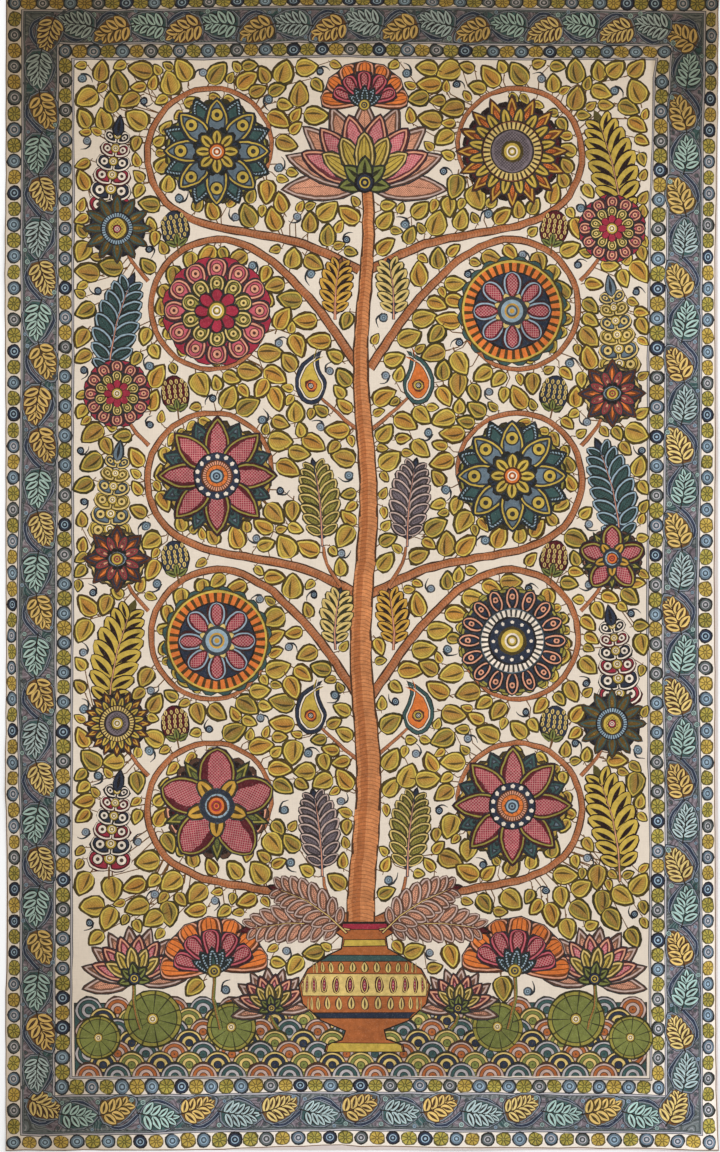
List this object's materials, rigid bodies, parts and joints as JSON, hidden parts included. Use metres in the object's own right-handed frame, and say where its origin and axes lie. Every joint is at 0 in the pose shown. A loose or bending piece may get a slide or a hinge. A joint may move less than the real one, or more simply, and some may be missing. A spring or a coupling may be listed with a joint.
{
  "type": "kalamkari panel",
  "caption": "Rectangular length of hand-painted cotton cloth with a leaf and bead border around a flowering field, laid out flat with its painted face up.",
  "frame": {"origin": "below the middle of the cloth, on the surface that it lies on", "axes": "+Z out of the painted face, +Y along the length towards the head of the design, +X across the width to the right"},
  "size_m": [1.07, 1.738, 0.0054],
  "materials": {
    "painted_cotton": "matte hand-painted plain-weave cotton, naturally dyed"
  },
  "bodies": {
    "root": {"kalamkari_cloth": "painted_cotton"}
  },
  "joints": []
}
